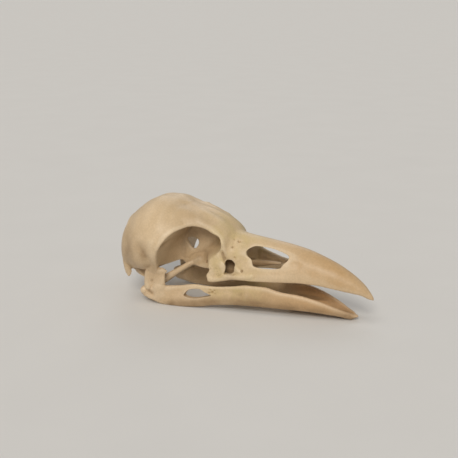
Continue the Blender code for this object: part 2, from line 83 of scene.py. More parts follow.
# Stations along the upper beak: X, the ridge on top, the cutting edge, half width at the edge,
# how far the palate is vaulted, and how square the section is.
BEAK = [
    (-3.5, 24.0, 15.0, 0.0, 0.0, 1.9), (-1.2, 25.8, 11.5, 8.9, 0.3, 1.9), (3.0, 25.3, 11.4, 9.6, 0.6, 1.85),
    (9.0, 24.6, 11.6, 9.0, 1.2, 1.8), (15.0, 23.9, 11.9, 8.1, 1.8, 1.8), (21.5, 22.7, 12.2, 7.1, 2.0, 1.85),
    (27.5, 20.9, 11.9, 5.9, 2.0, 1.9), (33.3, 18.55, 11.0, 4.7, 1.7, 2.0), (38.4, 15.7, 10.1, 3.5, 1.2, 2.1),
    (41.8, 13.2, 9.4, 2.5, 0.7, 2.1), (44.4, 10.5, 8.1, 1.3, 0.2, 2.1), (TIP_X, 7.5, 7.5, 0.0, 0.0, 2.0),
]
# Stations along each half of the lower jaw: X, the bottom, the top, the half width to the outer
# face, and the thickness of the wall.
RAMUS = [
    (-35.1, 3.6, 5.0, 13.4, 1.6), (-33.4, 1.6, 6.1, 14.0, 4.2), (-30.0, 0.8, 6.9, 14.5, 4.6),
    (-26.5, -0.1, 6.9, 14.1, 3.2), (-21.0, -0.3, 7.5, 13.4, 2.3), (-14.4, 0.2, 8.5, 12.4, 2.0),
    (-9.2, 1.2, 8.3, 11.6, 2.0), (-3.0, 2.0, 8.8, 10.7, 2.1), (4.5, 2.4, 9.8, 9.6, 2.1),
    (10.0, 2.4, 9.7, 8.8, 2.0), (15.5, 2.3, 8.4, 7.9, 1.9), (21.0, 2.3, 7.9, 6.9, 1.8),
    (26.0, 2.0, 6.9, 5.9, 1.6), (30.0, 1.7, 5.7, 4.9, 1.5), (34.0, 1.4, 4.2, 3.8, 1.4),
    (37.0, 0.8, 3.0, 2.6, 1.3), (39.5, 1.1, 1.9, 1.3, 1.0),
]
# The lower jaw's joined front: X, the rim, the widest level, the bottom and the half width.
CHIN = [
    (15.0, 2.9, 2.8, 2.7, 0.0), (17.5, 3.2, 2.8, 2.2, 6.9), (21.0, 3.6, 2.8, 1.7, 6.5),
    (24.0, 3.8, 2.9, 1.7, 6.0), (27.0, 3.9, 2.9, 1.5, 5.4), (31.0, 3.9, 2.9, 1.0, 4.5),
    (34.5, 3.3, 2.6, 0.6, 3.5), (37.0, 2.7, 2.1, 0.02, 2.6), (38.3, 2.4, 1.85, -0.08, 2.1),
    (39.7, 2.0, 1.55, 0.6, 1.3), (40.9, 1.4, 1.4, 1.4, 0.0),
]
CHIN_HOLLOW = [
    (5.0, 12.0, 7.0, 4.4, 0.0), (10.0, 12.0, 7.4, 3.6, 6.5), (15.5, 12.0, 7.2, 2.9, 5.95),
    (21.0, 12.0, 6.7, 2.6, 5.25), (26.0, 11.0, 6.0, 2.4, 4.4), (30.0, 10.0, 5.0, 2.1, 3.5),
    (34.5, 8.0, 3.8, 1.7, 2.25), (37.5, 6.0, 2.9, 1.6, 1.25), (39.6, 4.0, 2.3, 1.8, 0.0),
]
# The hollow of the nose, with the beak's columns.
NASAL_CAVITY = [
    (1.2, 23.0, 14.8, 0.0, 0.0, 2.4), (2.0, 23.6, 14.5, 6.4, 0.0, 2.4), (5.0, 23.4, 14.2, 7.6, 0.0, 2.2),
    (9.0, 22.9, 14.2, 7.5, 0.0, 2.0), (14.0, 22.0, 14.6, 6.5, 0.0, 1.9), (17.4, 20.8, 15.6, 4.8, 0.0, 1.9),
    (18.6, 18.4, 18.0, 0.0, 0.0, 1.9),
]
# Outlines of windows, in X and Z.
NOSTRIL = [
    (2.7, 20.6), (3.4, 19.7), (4.9, 18.9), (5.5, 17.5), (6.0, 16.7), (8.0, 16.4), (10.6, 16.35),
    (13.4, 16.5), (15.2, 16.9), (15.9, 18.0), (17.2, 19.4), (17.6, 20.4), (17.1, 20.95), (15.0, 21.7),
    (11.9, 22.4), (8.5, 22.8), (5.4, 22.9), (3.8, 22.3), (2.8, 21.5),
]
SEPTUM_WINDOW = [
    (-22.9, 21.2), (-21.6, 21.9), (-19.9, 21.8), (-18.7, 21.0), (-18.6, 19.7), (-19.7, 18.0), (-20.8, 17.9),
    (-22.1, 19.3),
]
FAR_NOSTRIL = [
    (2.2, 19.3), (4.0, 18.2), (5.8, 17.5), (7.8, 16.9), (10.2, 16.2), (12.8, 15.9), (15.2, 16.5),
    *NOSTRIL[9:17], (3.4, 22.2), (2.3, 21.0),
]
# The eye socket's rim, from its rear foot up over the top and down to the front foot, open below.
SOCKET = [
    (-27.6, 14.2), (-27.2, 16.3), (-26.7, 19.0), (-26.0, 20.9), (-25.0, 23.0), (-23.4, 25.2), (-21.6, 27.0),
    (-19.2, 28.1), (-16.7, 28.6), (-14.0, 28.5), (-11.4, 27.9), (-8.8, 27.0), (-6.5, 26.0), (-5.5, 24.6),
    (-5.3, 23.0), (-5.9, 21.6), (-7.0, 19.8), (-8.3, 17.6), (-9.6, 15.9), (-10.3, 14.7), (-9.9, 13.6),
    (-11.1, 11.8), (-10.9, 9.8), (-12.0, 6.5), (-17.0, 5.0), (-24.0, 5.6), (-27.4, 8.6), (-27.9, 11.6),
]
# The broken foot of the bone before the eye, down on the cheek bar.
EYE_PLATE = [
    (-6.4, 17.2), (-8.4, 16.6), (-10.2, 14.8), (-9.7, 14.0), (-9.9, 13.3), (-11.1, 11.9), (-10.9, 10.6),
    (-10.1, 9.5), (-7.6, 10.2), (-5.2, 11.2), (-4.0, 12.6), (-3.7, 14.4), (-3.6, 16.2), (-4.2, 17.4),
]
# The foot with which the palate's blade spreads onto the middle wall.
SHELF = [
    (-23.4, 13.2), (-21.5, 12.0), (-16.0, 11.4), (0.0, 11.7), (0.4, 14.0), (0.0, 17.6), (-8.0, 18.6),
    (-16.0, 18.2), (-21.0, 16.4),
]
# The window in the cheek, between the bone before the eye and the beak.
CHEEK_WINDOW = [
    (-4.1, 17.2), (-3.4, 17.9), (-2.1, 18.0), (-1.1, 17.3), (-0.9, 16.2), (-1.3, 15.2), (-0.8, 14.5),
    (-1.2, 13.8), (-2.4, 13.4), (-4.6, 12.9), (-4.1, 14.2), (-3.8, 15.8),
]
JAW_WINDOW = [
    (-18.4, 4.2), (-17.7, 5.5), (-16.8, 6.4), (-15.2, 7.0), (-13.0, 7.2), (-11.9, 6.9), (-10.7, 6.1),
    (-8.6, 5.3), (-9.3, 4.8), (-11.1, 4.3), (-13.9, 3.6), (-16.6, 3.5),
]

# Marks raised (or, below nought, sunk) on the finished bone: a path, a height and a spread.
# Those of the right side are also made on the left.
CRANIUM_MARKS = [
    ([(-32.4, -17.3, 20.8), (-31.8, -17.4, 19.6), (-31.2, -17.0, 18.0)], -0.9, 2.4),
    ([(-31.6, -17.0, 19.4), (-31.2, -16.8, 18.2)], -0.35, 1.1),
    ([(-28.1, -17.9, 23.2), (-27.9, -17.3, 19.5), (-28.2, -16.7, 15.6)], 0.3, 1.5),
    ([(-26.0, -17.4, 21.6), (-23.4, -16.0, 25.6), (-21.0, -13.2, 27.8), (-17.6, -9.6, 28.9),
      (-11.4, -8.8, 28.3), (-7.0, -9.3, 26.4), (-4.9, -9.6, 23.6)], 0.28, 0.9),
    ([(-21.7, -3.9, 34.8), (-18.3, -4.3, 33.9), (-14.7, -5.2, 32.5), (-11.2, -6.2, 30.8)], -0.55, 2.6),
    ([(-15.0, -8.6, 30.6), (-12.0, -8.6, 29.4), (-9.0, -8.8, 28.0)], 0.25, 1.6),
    ([(-5.2, -9.4, 20.0), (-4.6, -9.4, 18.8), (-4.0, -9.5, 17.4)], -0.65, 1.0),
    ([(-20.2, -1.6, 13.1), (-18.8, -2.0, 14.0), (-17.2, -2.3, 15.0)], 0.6, 1.0),
    ([(-3.4, -1.0, 26.9), (-2.3, -5.3, 24.6), (-2.0, -7.4, 22.3)], -0.12, 0.5),
    ([(-41.0, -11.5, 27.0), (-42.6, -6.0, 28.6), (-43.0, 0.0, 29.0)], 0.3, 0.9),
    ([(-41.8, -3.5, 24.5), (-43.8, -3.2, 21.0)], -0.35, 1.6),
    ([(-24.0, 0.0, 35.4), (-31.0, 0.0, 36.6), (-38.0, 0.0, 34.0)], -0.18, 1.6),
    ([(6.0, -5.9, 23.4), (14.0, -5.6, 21.9), (24.0, -5.0, 19.0), (33.0, -3.8, 15.6)], 0.1, 1.6),
    ([(18.2, -6.6, 19.6), (21.0, -6.3, 18.6)], -0.3, 1.3),
    ([(-3.0, -8.6, 15.0), (2.0, -9.3, 13.6), (8.0, -9.0, 13.4), (16.0, -8.0, 13.6)], 0.12, 1.0),
    ([(-0.6, -9.2, 15.6), (0.5, -9.3, 14.6)], 0.3, 0.6),
    ([(0.4, -9.3, 15.6), (1.9, -9.4, 14.8)], -0.3, 0.5),
]
# Marks of the left side alone: the chipped far edge of the roof.
LEFT_MARKS = [
    ([(-18.0, 6.6, 33.2), (-14.0, 6.8, 31.8), (-10.5, 7.0, 30.2)], 0.75, 1.7),
    ([(-18.6, 8.2, 32.6), (-17.7, 8.2, 32.4)], 0.85, 0.5),
    ([(-16.9, 8.2, 32.2), (-16.3, 8.2, 32.0)], -0.35, 0.4),
    ([(-15.6, 8.3, 31.7), (-14.7, 8.3, 31.4)], 0.5, 0.45),
    ([(-13.2, 8.2, 30.9), (-12.8, 8.2, 30.8)], -0.18, 0.4),
    ([(-12.0, 8.2, 30.6), (-11.2, 8.2, 30.2)], 0.35, 0.5),
]
# Edges worn round, on both sides: centre and spread.
CRANIUM_WEAR = [
    ((-27.4, -15.6, 18.6), (1.8, 3.0, 4.6)), ((-8.6, -8.6, 17.2), (3.4, 2.6, 3.0)),
    ((-10.5, -2.6, 16.4), (4.5, 2.4, 3.6)),
]
JAW_WEAR = [((24.0, 0.0, 3.0), (9.0, 4.4, 1.6))]
# Small holes for nerves and vessels: centre and half width.
CRANIUM_HOLES = [
    ((-0.6, -5.2, 24.0), 0.42), ((-2.3, -5.3, 24.6), 0.2), ((-1.7, -5.8, 24.4), 0.18),
    ((-2.2, -7.4, 22.2), 0.24), ((-1.0, -8.5, 19.0), 0.3), ((2.1, -9.4, 14.8), 0.36),
    ((-7.4, -9.9, 14.6), 0.22), ((-9.4, -9.9, 14.1), 0.26), ((0.6, -6.2, 22.6), 0.16),
    ((-3.6, -6.9, 24.6), 0.16), ((-13.9, -3.5, 14.6), 0.34), ((3.4, -7.0, 23.0), 0.14),
    ((20.4, -6.9, 15.4), 0.16), ((24.6, -6.2, 15.1), 0.16), ((29.2, -5.3, 14.3), 0.16),
]
HOLE_DEPTH = 2.2  # in half widths
# Where the bone is spongy: centre and spread.
SPONGY = [
    ((-2.6, -4.5, 24.5), (3.6, 5.0, 3.4)), ((-9.0, -9.6, 12.6), (3.6, 3.0, 3.4)),
    ((-33.0, -10.0, 9.5), (7.0, 8.0, 3.6)), ((-8.4, -11.4, 6.6), (3.0, 2.0, 1.8)),
    ((-31.0, -13.0, 4.6), (2.4, 3.0, 2.0)), ((-17.0, -5.0, 11.0), (12.0, 5.0, 2.4)),
]
# Painted highlights, paler where the light falls brightest: the beak above its cutting edge, the jaw's rear
# end and the foot of the eye socket's front wall.
PAINTED_HIGHLIGHTS = [
    ((20.0, -6.0, 13.2), (12.0, 4.0, 2.8)), ((-26.8, -14.6, 5.2), (4.5, 2.5, 2.2)),
    ((-9.2, -9.6, 12.4), (2.0, 2.0, 2.2)),
]
# How far the painted highlights raise the bend.
HIGHLIGHT_BEND = 0.3
HIGHEST_BEND = 0.5  # millimetres that a point stands out from the smoothed bone
# Painted shade, darker where shade falls in hollows, recesses and on the lower sides: how much, centre and
# spread.
PAINTED_SHADE_PLACES = [
    (0.7, (-19.0, -1.0, 22.8), (7.0, 5.5, 5.0)),  # the back of the eye socket
    (0.6, (-14.0, -2.0, 15.0), (5.0, 3.0, 2.8)),
    (3.0, (-3.4, -5.8, 15.2), (3.4, 2.0, 3.3)),  # the hollow behind the cheek's window
    (1.2, (6.0, 0.0, 15.0), (7.0, 5.0, 2.3)),  # the nose
    (0.8, (-38.5, -15.0, 17.5), (7.0, 6.0, 8.0)),
    (0.45, (-13.5, -8.0, 30.0), (6.0, 3.0, 2.6)),
    (0.45, (-29.0, -14.6, 12.0), (3.6, 1.8, 3.4)),
    (0.85, (-31.5, -17.0, 18.9), (1.7, 2.5, 2.5)),  # the temple
    (0.25, (-28.4, -16.0, 17.5), (2.0, 2.0, 4.0)),
    (0.6, (-2.0, -9.9, 11.6), (3.6, 1.5, 1.2)),  # the cheek bar's stub
    (0.5, (-36.0, -10.8, 10.4), (3.0, 2.2, 1.8)),
    (0.5, (-30.8, -14.4, 4.0), (1.1, 1.5, 0.9)),
]
# Painted shade on the inner wall of the nose, centred towards the right side: how much, centre and spread.
NEAR_NOSE_PAINTED_SHADE = (0.7, (1.6, -2.0, 20.4), (2.0, 5.0, 2.4))
QUADRATE_MARKS = [
    ([(-29.9, -14.8, 8.6), (-29.8, -14.8, 5.4)], -0.4, 0.9),
    ([(-29.2, -14.8, 11.6), (-28.6, -14.8, 10.0)], -0.3, 1.6),
]
JAW_MARKS = [
    ([(-6.4, -11.2, 6.7), (-1.8, -10.5, 7.0), (2.0, -10.0, 6.6)], -0.45, 1.7),
    ([(3.6, -9.8, 6.2), (2.6, -9.8, 3.6)], 0.25, 1.3),
    ([(-24.5, -14.2, 4.6), (-20.8, -13.6, 5.4)], -0.3, 1.6),
    ([(-31.4, -14.4, 4.3), (-30.3, -14.6, 3.8)], -0.7, 1.1),
    ([(-28.0, -14.5, 6.2), (-27.4, -14.6, 4.0)], 0.5, 2.1),
    ([(8.0, -9.0, 4.6), (18.0, -7.4, 4.2), (30.0, -4.9, 2.6)], -0.16, 1.5),
    ([(10.0, -8.7, 9.0), (20.0, -7.1, 7.4), (30.0, -4.9, 5.2), (37.0, -2.5, 2.4)], 0.1, 0.8),
]
# Painted shade along the lower jaw's lower edge, where it faces down: a path, how much and a spread.
JAW_PAINTED_SHADE = ([(-22.0, -13.6, -0.6), (-9.0, -11.8, 1.2), (0.0, -10.8, 2.6), (10.0, -9.2, 2.2),
              (20.0, -7.4, 1.8), (28.0, -5.6, 1.3), (34.0, -3.8, 0.6), (37.5, -2.2, 0.2)], 1.7, 2.6)
JAW_HOLES = [
    ((-8.9, -11.5, 7.2), 0.3), ((-8.1, -11.4, 6.3), 0.36), ((-9.3, -11.5, 6.1), 0.26),
    ((-7.3, -11.3, 7.0), 0.26), ((-7.1, -11.2, 5.8), 0.22), ((12.0, -8.6, 5.4), 0.16),
    ((18.4, -7.4, 4.7), 0.16), ((24.0, -6.3, 3.9), 0.16), ((29.6, -5.1, 3.2), 0.16),
]


def through(knots, values, at):
    """A smooth curve through given stations: cubics whose slopes are the harmonic mean of the neighbouring
    chords, so the curve never overshoots."""
    step = np.diff(knots)
    slope = np.diff(values) / step
    product = slope[:-1] * slope[1:]
    near, far = 2 * step[1:] + step[:-1], step[1:] + 2 * step[:-1]
    first, second = (np.where(product > 0, part, 1.0) for part in (slope[:-1], slope[1:]))
    mean = (near + far) / (near / first + far / second)
    tangent = np.concatenate([slope[:1], np.where(product > 0, mean, 0.0), slope[-1:]])
    cell = np.clip(np.searchsorted(knots, at) - 1, 0, len(step) - 1)
    t = (at - knots[cell]) / step[cell]
    return (
        values[cell] * (1 + 2 * t) * (1 - t) ** 2
        + tangent[cell] * step[cell] * t * (1 - t) ** 2
        + values[cell + 1] * t * t * (3 - 2 * t)
        + tangent[cell + 1] * step[cell] * t * t * (t - 1)
    )


def along(table, rows):
    """The table's columns at rows stations, spaced as a cosine so that both ends are round."""
    table = np.array(table)
    first, last = table[0, 0], table[-1, 0]
    turn = np.linspace(0.0, math.pi, rows)
    knots = np.arccos(np.clip(1 - 2 * (table[:, 0] - first) / (last - first), -1, 1))
    x = first + (last - first) * (1 - np.cos(turn)) / 2
    return [x] + [through(knots, table[:, column], turn) for column in range(1, table.shape[1])]


def full_turn(steps):
    """Angles spread evenly over one turn."""
    return np.linspace(0, 2 * math.pi, steps, endpoint=False)


def power(wave, exponent):
    """A wave raised to a power with its sign kept: it makes an oval squarer or more pointed."""
    return np.sign(wave) * np.abs(wave) ** exponent


def ring_faces(rows, sides):
    """Faces over rings of points that follow a single first point: squares from each ring to the
    next, and triangles from the first point to the first ring and on to a single last point."""
    near = 1 + np.arange(sides)
    after = 1 + (np.arange(sides) + 1) % sides
    start = (np.arange(rows - 1) * sides)[:, None]
    quads = np.stack([start + near, start + after, start + sides + after, start + sides + near], -1)
    end, last = rows * sides + 1, (rows - 1) * sides
    first_fan = np.stack([0 * near, after, near], -1)
    last_fan = np.stack([0 * near + end, last + near, last + after], -1)
    return quads.reshape(-1, 4).tolist(), first_fan.tolist(), last_fan.tolist()


def closed_skin(rings):
    """A closed mesh over a grid of rings; its first and last ring are each a single point."""
    points = np.concatenate([rings[:1, 0], rings[1:-1].reshape(-1, 3), rings[-1:, 0]])
    quads, first_fan, last_fan = ring_faces(rings.shape[0] - 2, rings.shape[1])
    mesh = bpy.data.meshes.new("skin")
    mesh.from_pydata((points * MM).tolist(), [], quads + first_fan + last_fan)
    return mesh


def oval_rings(x, top, wide, low, half_width, squareness=2.0, lower_squareness=2.0, sides=96):
    """Rings across the skull. Each is an oval: the cosine gives the width and the sine the
    height, each to its power, and the two halves meet at the widest level."""
    turn = full_turn(sides)
    bow = 2 / np.where(np.sin(turn) > 0, squareness, lower_squareness)
    across, upward = power(np.cos(turn), bow), power(np.sin(turn), bow)
    reach = np.where(upward > 0, (top - wide)[:, None], (wide - low)[:, None])
    rings = [x[:, None] + 0 * across, half_width[:, None] * across, wide[:, None] + reach * upward]
    return np.stack(rings, -1)


def beak_rings(x, ridge, edge, half_width, vault, squareness, sides=120):
    """Rings round the upper beak: an arch, a rounded cutting edge of the lip's radius, and a
    palate that rises as a sine towards the middle."""
    x, ridge, edge, half_width, vault, bow = (
        column[:, None] for column in (x, ridge, edge, half_width, vault, 2 / squareness))
    turn = full_turn(sides)
    side, rise = np.cos(turn), np.sin(turn)
    lip = np.minimum(LIP_RADIUS, 0.3 * np.minimum(half_width, ridge - edge))
    arch_across = half_width * power(side, bow)
    arch_height = edge + lip + (ridge - edge - lip) * np.abs(rise) ** bow
    below = np.arcsin(np.clip(-rise, 0, 1)) / (math.pi / 2)
    corner = np.clip(below / LIP_SHARE, 0, 1) * math.pi / 2
    inward = np.clip((below - LIP_SHARE) / (1 - LIP_SHARE), 0, 1)
    lip_across = np.sign(side) * (half_width - lip + lip * np.cos(corner)) * (1 - inward)
    lip_height = edge + lip * (1 - np.sin(corner)) + vault * np.sin(inward * math.pi / 2)
    upper = rise >= 0
    rows = [x + 0 * turn, np.where(upper, arch_across, lip_across),
            np.where(upper, arch_height, lip_height)]
    return np.stack(rows, -1)


def ramus_rings(x, low, high, half_width, wall, sides=40):
    """Rings round the right half of the lower jaw: a tall oval plate, squared by a power."""
    turn = full_turn(sides)
    across, upward = power(np.cos(turn), 0.75), power(np.sin(turn), 0.6)
    rows = [
        x[:, None] + 0 * across,
        -(half_width - wall / 2)[:, None] + wall[:, None] / 2 * across,
        ((low + high) / 2)[:, None] + (high - low)[:, None] / 2 * upward,
    ]
    return np.stack(rows, -1)


def bump(points, centre, spread):
    """A bell: 1 at the centre, falling off with the square of the distance over the spread."""
    offset = (points - centre) / spread
    return np.exp(-(offset ** 2).sum(-1))


def bumps(points, places):
    """The sum of the bells at these places."""
    return sum(bump(points, centre, spread) for centre, spread in places)


def ball(centre, radii, squareness=2.0, rows=31, sides=40, turned=None):
    """An oval body about Y: sine and cosine of the slant, to a power for squareness."""
    slant = np.linspace(0, math.pi, rows)[:, None]
    turn = full_turn(sides)
    reach = power(np.sin(slant), 2 / squareness)
    along_y = power(np.cos(slant), 2 / squareness) + 0 * turn
    shape = np.stack([reach * np.cos(turn), along_y, reach * np.sin(turn)], -1) * radii
    if turned is not None:
        shape = shape @ np.array(turned.to_3x3()).T
    return closed_skin(shape + centre)


def rod(path, across=UPRIGHT, rows=44, sides=24):
    """A bar along a smooth path of X, Y, Z and two half widths: an oval carried at right angles
    to the path, the first half width near the direction across, and both ends rounded off."""
    path = np.array(path, float)
    steps = np.linalg.norm(np.diff(path[:, :3], axis=0), axis=1)
    length = np.concatenate([[0.0], np.cumsum(steps)])
    at = length[-1] * (1 - np.cos(np.linspace(0, math.pi, rows))) / 2
    stations = np.stack([through(length, column, at) for column in path.T], -1)
    middle, half = stations[:, :3], stations[:, 3:]
    ahead = np.gradient(middle, axis=0)
    ahead /= np.linalg.norm(ahead, axis=1)[:, None]
    first = across - ahead * (ahead @ across)[:, None]
    first /= np.linalg.norm(first, axis=1)[:, None]
    second = np.cross(ahead, first)
    from_end = np.minimum(at, length[-1] - at)
    closing = np.sqrt(np.clip(1 - (1 - np.clip(from_end / half.min(axis=1), 0, 1)) ** 2, 0, 1))
    turn = full_turn(sides)[None, :, None]
    wide = (half[:, 0] * closing)[:, None, None] * np.cos(turn) * first[:, None, :]
    thick = (half[:, 1] * closing)[:, None, None] * np.sin(turn) * second[:, None, :]
    return closed_skin(middle[:, None, :] + wide + thick)


def smooth_loop(outline):
    """A smooth closed curve (Catmull-Rom) through points of X and Z, six steps to each."""
    outline = np.array(outline, float)
    corners = len(outline)
    wrapped = np.concatenate([outline[-1:], outline, outline[:2]])
    at = np.linspace(0, corners, corners * 6, endpoint=False)
    cell = at.astype(int)
    t = (at - cell)[:, None]
    a, b, c, d = (wrapped[cell + shift] for shift in range(4))
    return b + t / 2 * (c - a + t * (2 * a - 5 * b + 4 * c - d + t * (3 * (b - c) + d - a)))


def stacked(curve, centre, levels):
    """A closed skin over copies of a curve: each level is a place along Y, then how large the
    curve is there about the centre. Its ends are flat."""
    levels = [(levels[0][0], 0.0), *levels, (levels[-1][0], 0.0)]
    rings = [np.insert(centre + (curve - centre) * size, 1, y, axis=1) for y, size in levels]
    return closed_skin(np.stack(rings))


def prism(outline, reach):
    """A solid along Y over a smooth closed curve."""
    curve = smooth_loop(outline)
    return stacked(curve, curve.mean(axis=0), [(y, 1.0) for y in reach])


def bowl(outline, centre, floor_size, wall, rim, outside, bow, soft_at, rows=36):
    """A hollow that opens along -Y: the curve grows about a centre from its floor size at the
    wall to full size at the rim as a quarter of a superellipse, and goes straight on to the
    outside. Round one place it grows evenly instead, along a smooth step that ends beyond the rim,
    so that the rim has no edge there, and its floor starts further back."""
    share = 1 - np.cos(np.linspace(0, math.pi / 2, rows))[:, None]
    curve = smooth_loop(outline)
    soft = bump(curve, *soft_at)
    grown_by = (1 - soft) * (1 - (1 - share) ** bow) ** (1 / bow) + soft * share
    deep_by = (1 - soft) * share + soft * share ** 2 * (3 - 2 * share)
    sizes = floor_size + (1 - np.array(floor_size)) * grown_by[..., None]
    shapes = centre + (curve - centre) * sizes
    shapes[..., 0] -= 2.5 * soft * (1 - share)
    shapes = np.concatenate([0 * shapes[:1] + shapes[0].mean(axis=0), shapes,
                             curve[None], 0 * curve[None] + curve.mean(axis=0)])
    flat = np.ones((1, len(curve)))
    sides = wall + (rim - soft - wall) * deep_by
    places = np.concatenate([wall * flat, sides, outside * flat, outside * flat])
    return closed_skin(np.insert(shapes, 1, places, axis=2))


def crumbs(path, count, size, scatter, seed):
    """Small lumps strewn along a path, as on a broken edge of spongy bone."""
    chance = np.random.default_rng(seed)
    path = np.array(path, float)
    at = chance.uniform(0, len(path) - 1, count)
    cell = at.astype(int)
    middle = path[cell] + (path[cell + 1] - path[cell]) * (at - cell)[:, None]
    middle += chance.normal(0, scatter, (count, 3))
    radii = size * chance.uniform(0.6, 1.3, (count, 3))
    return [ball(centre, radius, rows=9, sides=10) for centre, radius in zip(middle, radii)]


def mirrored(mesh):
    """The same skin mirrored in Y, still facing outward."""
    twin = mesh.copy()
    twin.transform(Matrix.Scale(-1, 4, Vector(CROSSWISE)))
    twin.flip_normals()
    return twin


def both_sides(meshes):
    """The right side's skins, each followed by its mirror image on the left."""
    return [copy for mesh in meshes for copy in (mesh, mirrored(mesh))]


def linked(name, data):
    """A new object in the scene that shows a mesh, lamp or lens."""
    obj = bpy.data.objects.new(name, data)
    bpy.context.scene.collection.objects.link(obj)
    return obj


def fuse(name, meshes, rounds, voxel=VOXEL):
    """One object: all these skins joined into one even skin, softened at its creases."""
    shape = bmesh.new()
    for mesh in meshes:
        shape.from_mesh(mesh)
    whole = bpy.data.meshes.new(name)
    shape.to_mesh(whole)
    shape.free()
    return evened(linked(name, whole), rounds, voxel)


def modified(obj, kind, **settings):
    """The object with one modifier of this kind worked out into its mesh."""
    step = obj.modifiers.new(kind, kind)
    for key, value in settings.items():
        setattr(step, key, value)
    graph = bpy.context.evaluated_depsgraph_get()
    mesh = bpy.data.meshes.new_from_object(obj.evaluated_get(graph))
    obj.modifiers.clear()
    obj.data = mesh
    return obj


def softened(obj, rounds):
    """Each point moves half way to the mean of its neighbours, as many times as there are rounds."""
    return modified(obj, "SMOOTH", factor=0.5, iterations=rounds)


def evened(obj, rounds, voxel):
    """An object's bodies as one skin of even squares, softened."""
    return softened(modified(obj, "REMESH", mode="VOXEL", voxel_size=voxel * MM), rounds)


def grown(obj, distance):
    """The skin moved outward along its normals by a distance."""
    return modified(obj, "DISPLACE", strength=distance * MM, mid_level=0.0)


def cut_away(obj, other):
    """Takes one closed body from another, and drops the cutter."""
    modified(obj, "BOOLEAN", operation="DIFFERENCE", solver="EXACT", object=other)
    bpy.data.objects.remove(other, do_unlink=True)


def thinned(obj, triangles):
    """Fewer triangles where the bone is smoothest."""
    obj.data.calc_loop_triangles()
    share = triangles / len(obj.data.loop_triangles)
    return modified(obj, "DECIMATE", ratio=share, use_collapse_triangulate=True)


def rows_of(items, name):
    """One vector of each item, in rows."""
    flat = np.empty(len(items) * 3)
    items.foreach_get(name, flat)
    return flat.reshape(-1, 3)


def points_of(obj):
    """The vertices' places in millimetres."""
    return rows_of(obj.data.vertices, "co") / MM


def place_points(obj, points):
    """Puts the vertices at these places, given in millimetres."""
    obj.data.vertices.foreach_set("co", (points * MM).ravel())
    obj.data.update()


def right_of(points):
    """Places folded over onto the right side: Y made minus its own size."""
    return np.where([False, True, False], -np.abs(points), points)


def hole_bell(points, centre, half):
    """1 in a hole, falling off with the fourth power of the distance over its half width."""
    return np.exp(-(np.linalg.norm(points - centre, axis=1) / half) ** 4)


def path_bell(points, path, spread):
    """1 along a broken line, falling off with the square of the distance over the spread. The
    distance is the least one over the line's straight runs."""
    path = np.array(path, float)
    least = np.full(len(points), np.inf)
    for start, end in zip(path[:-1], path[1:]):
        run = end - start
        t = np.clip((points - start) @ run / (run @ run), 0, 1)
        least = np.minimum(least, np.linalg.norm(points - start - t[:, None] * run, axis=1))
    return np.exp(-(least / spread) ** 2)


def unevenness(points, length, seed):
    """A gentle unevenness between -1 and 1: the mean of eight sine waves in seeded directions."""
    chance = np.random.default_rng(seed)
    ways = chance.normal(size=(8, 3))
    ways /= np.linalg.norm(ways, axis=1)[:, None]
    turns = 2 * math.pi / (length * chance.uniform(0.7, 1.4, 8))
    return np.sin(points @ ways.T * turns + chance.uniform(0, 2 * math.pi, 8)).mean(axis=1)


def carve(obj, marks, holes, seed, left_marks=()):
    """Raises and sinks the bone along its normals: bell profiles over the distance to each
    mark's path, deep narrow bells for the holes, and a slight unevenness over all."""
    points, normals = points_of(obj), rows_of(obj.data.vertex_normals, "vector")
    shift = 0.12 * np.stack([unevenness(points, 3.0, seed + axis) for axis in range(3)], -1)
    folded = right_of(points) + shift
    rise = 0.05 * unevenness(points, 5.0, seed + 5) + 0.02 * unevenness(points, 1.6, seed + 6)
    for places, listed in ((folded, marks), (points + shift, left_marks)):
        for path, height, spread in listed:
            rise += height * path_bell(places, path, spread)
    for centre, half in holes:
        rise -= HOLE_DEPTH * half * hole_bell(folded, centre, half)
    place_points(obj, points + normals * rise[:, None])


def neighbour_means(obj):
    """A function that turns numbers at the vertices into their means over the joined vertices."""
    size = len(obj.data.vertices)
    edges = np.empty(len(obj.data.edges) * 2, int)
    obj.data.edges.foreach_get("vertices", edges)
    a, b = edges.reshape(-1, 2).T
    count = np.bincount(a, minlength=size) + np.bincount(b, minlength=size)

    def mean(values):
        if values.ndim == 2:
            return np.stack([mean(column) for column in values.T], -1)
        return (np.bincount(a, values[b], size) + np.bincount(b, values[a], size)) / count

    return mean


def worn(obj, places, rounds):
    """Wears sharp edges round: near the given places each point moves half way to the mean of
    its neighbours, again and again, as far as the places' bells allow."""
    points, neighbours = points_of(obj), neighbour_means(obj)
    share = 0.5 * np.clip(bumps(right_of(points), places), 0, 1)[:, None]
    for _ in range(rounds):
        points += share * (neighbours(points) - points)
    place_points(obj, points)


